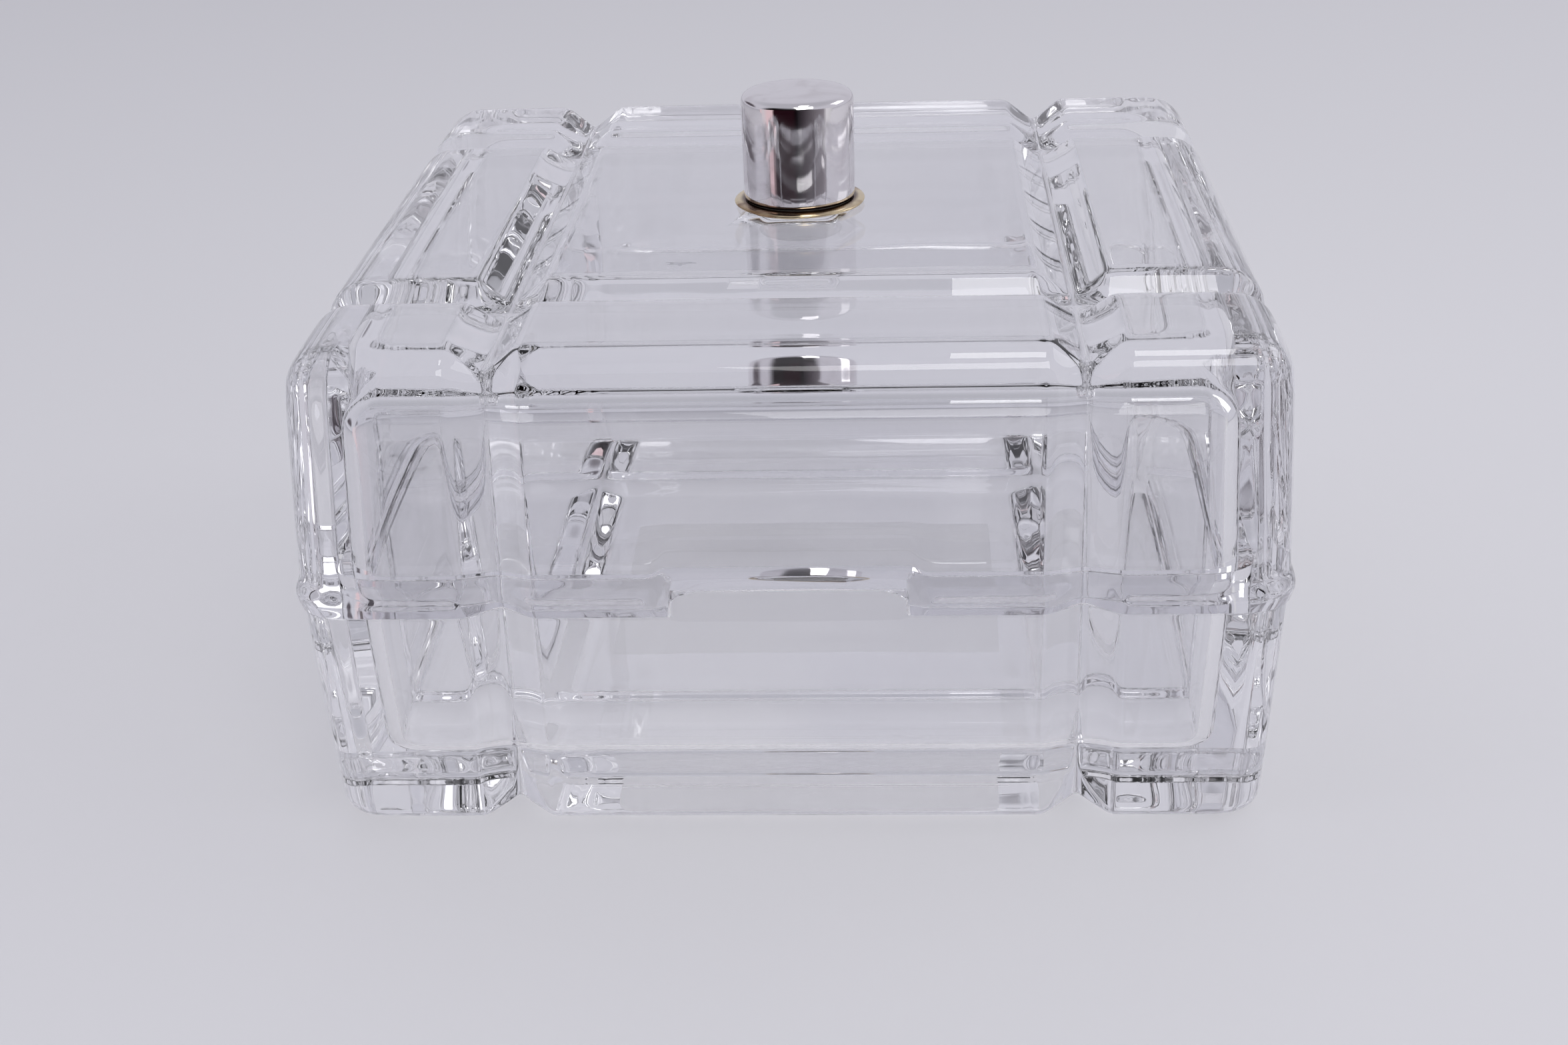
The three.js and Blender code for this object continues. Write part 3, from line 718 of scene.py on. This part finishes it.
soft_lamp("window", place=(0.30, -0.85, 1.0), aim=(0.02, 0, 0.03), size=(0.7, 0.75), watts=6.0)
soft_lamp("side window", place=(0.85, 0.25, 0.6), aim=(0, 0, 0.02), size=(0.5, 0.4), watts=0.8)
soft_lamp("skylight", place=(0.13, -0.14, 1.0), aim=(0.13, -0.14, 0), size=(0.18, 0.25), watts=0.7)

# A card banded from left to right, which stands for the dark room in front of the box. It is only seen
# mirrored in metal and glass: neither the camera nor the floor sees it.
ROOM_PLACE = -0.09
ROOM_HALF_WIDTH = 0.4
ROOM_HEIGHT = 0.1
bpy.ops.object.select_all(action="DESELECT")
bpy.ops.mesh.primitive_plane_add(size=2)
room_front = bpy.context.object
room_front.name = "front of the room"
bpy.ops.object.mode_set(mode="EDIT")
resize_about((ROOM_HALF_WIDTH, ROOM_HEIGHT / 2, 1), (0, 0, 0))
bpy.ops.transform.rotate(value=math.radians(90), orient_axis="X", center_override=(0, 0, 0))
bpy.ops.transform.translate(value=(0, ROOM_PLACE, ROOM_HEIGHT / 2))
bpy.ops.object.mode_set(mode="OBJECT")
furnishing = bpy.data.materials.new("furnishing")
furnishing.use_nodes = True
tree = furnishing.node_tree
place = add_node(tree, "TexCoord")
across = add_node(tree, "SeparateXYZ")
stretch = add_node(tree, "MapRange", {"From Min": -ROOM_HALF_WIDTH, "From Max": ROOM_HALF_WIDTH})
colours = add_node(tree, "ValToRGB")
glow = add_node(tree, "Emission")
unseen = add_node(tree, "BsdfTransparent")
path = add_node(tree, "LightPath")
mirrored = add_node(tree, "Math", {1: 0.5}, operation="GREATER_THAN")   # by one mirror or more
picked = add_node(tree, "MixShader")
DARK, MAROON, ROSE = (0.004, 0.003, 0.004), (0.016, 0.004, 0.007), (0.80, 0.60, 0.63)
# Each band's place, in metres to the right of the box's middle, and its colour
BANDS = ((-0.39, ROSE), (-0.23, (0.70, 0.66, 0.70)), (-0.15, ROSE), (-0.102, ROSE), (-0.09, MAROON),
         (-0.01, MAROON), (0.0, DARK), (0.025, (0.06, 0.05, 0.06)), (0.07, (0.17, 0.155, 0.175)),
         (0.13, (0.26, 0.24, 0.27)), (0.17, (0.75, 0.74, 0.78)), (0.35, (0.60, 0.60, 0.63)))
keys = colours.color_ramp.elements
while len(keys) < len(BANDS):
    keys.new(1.0)
for key, (x, colour) in zip(keys, BANDS):
    key.position = (x + ROOM_HALF_WIDTH) / (2 * ROOM_HALF_WIDTH)
    key.color = (*colour, 1)
join_nodes(tree,
           (place.outputs["Object"], across.inputs[0]),
           (across.outputs["X"], stretch.inputs["Value"]),
           (stretch.outputs["Result"], colours.inputs["Fac"]),
           (colours.outputs["Color"], glow.inputs["Color"]),
           (unseen.outputs[0], picked.inputs[1]),
           (glow.outputs[0], picked.inputs[2]),
           (path.outputs["Glossy Depth"], mirrored.inputs[0]),
           (mirrored.outputs[0], picked.inputs["Fac"]),
           (picked.outputs[0], tree.nodes["Material Output"].inputs["Surface"]))
room_front.data.materials.append(furnishing)
room_front.visible_camera = False
room_front.visible_diffuse = False
room_front.visible_shadow = False

# ---- Camera ------------------------------------------------------------------------------------
# Close in front of the box and a little above it, looking down on its front and its lid.

CAMERA_PLACE = Vector((0.01103, -0.24398, 0.12633))
YAW, PITCH, ROLL = (math.radians(angle) for angle in (-3.308, 25.118, -1.924))
lens = bpy.data.cameras.new("camera")
camera = bpy.data.objects.new("camera", lens)
bpy.context.collection.objects.link(camera)
lens.sensor_width = 36
lens.lens = 50.39
forward = Vector((math.sin(YAW) * math.cos(PITCH), math.cos(YAW) * math.cos(PITCH), -math.sin(PITCH)))
level = Vector((math.cos(YAW), -math.sin(YAW), 0))
over = level.cross(forward)
right = level * math.cos(ROLL) + over * math.sin(ROLL)
up = -level * math.sin(ROLL) + over * math.cos(ROLL)
turn = Matrix((right, up, -forward)).transposed()
camera.matrix_world = Matrix.Translation(CAMERA_PLACE) @ turn.to_4x4()
bpy.context.scene.camera = camera

bpy.context.scene.view_settings.view_transform = "Standard"
cycles = bpy.context.scene.cycles
cycles.max_bounces = 40              # light crosses many faces of glass here
cycles.transmission_bounces = 40
cycles.glossy_bounces = 12
cycles.transparent_max_bounces = 40
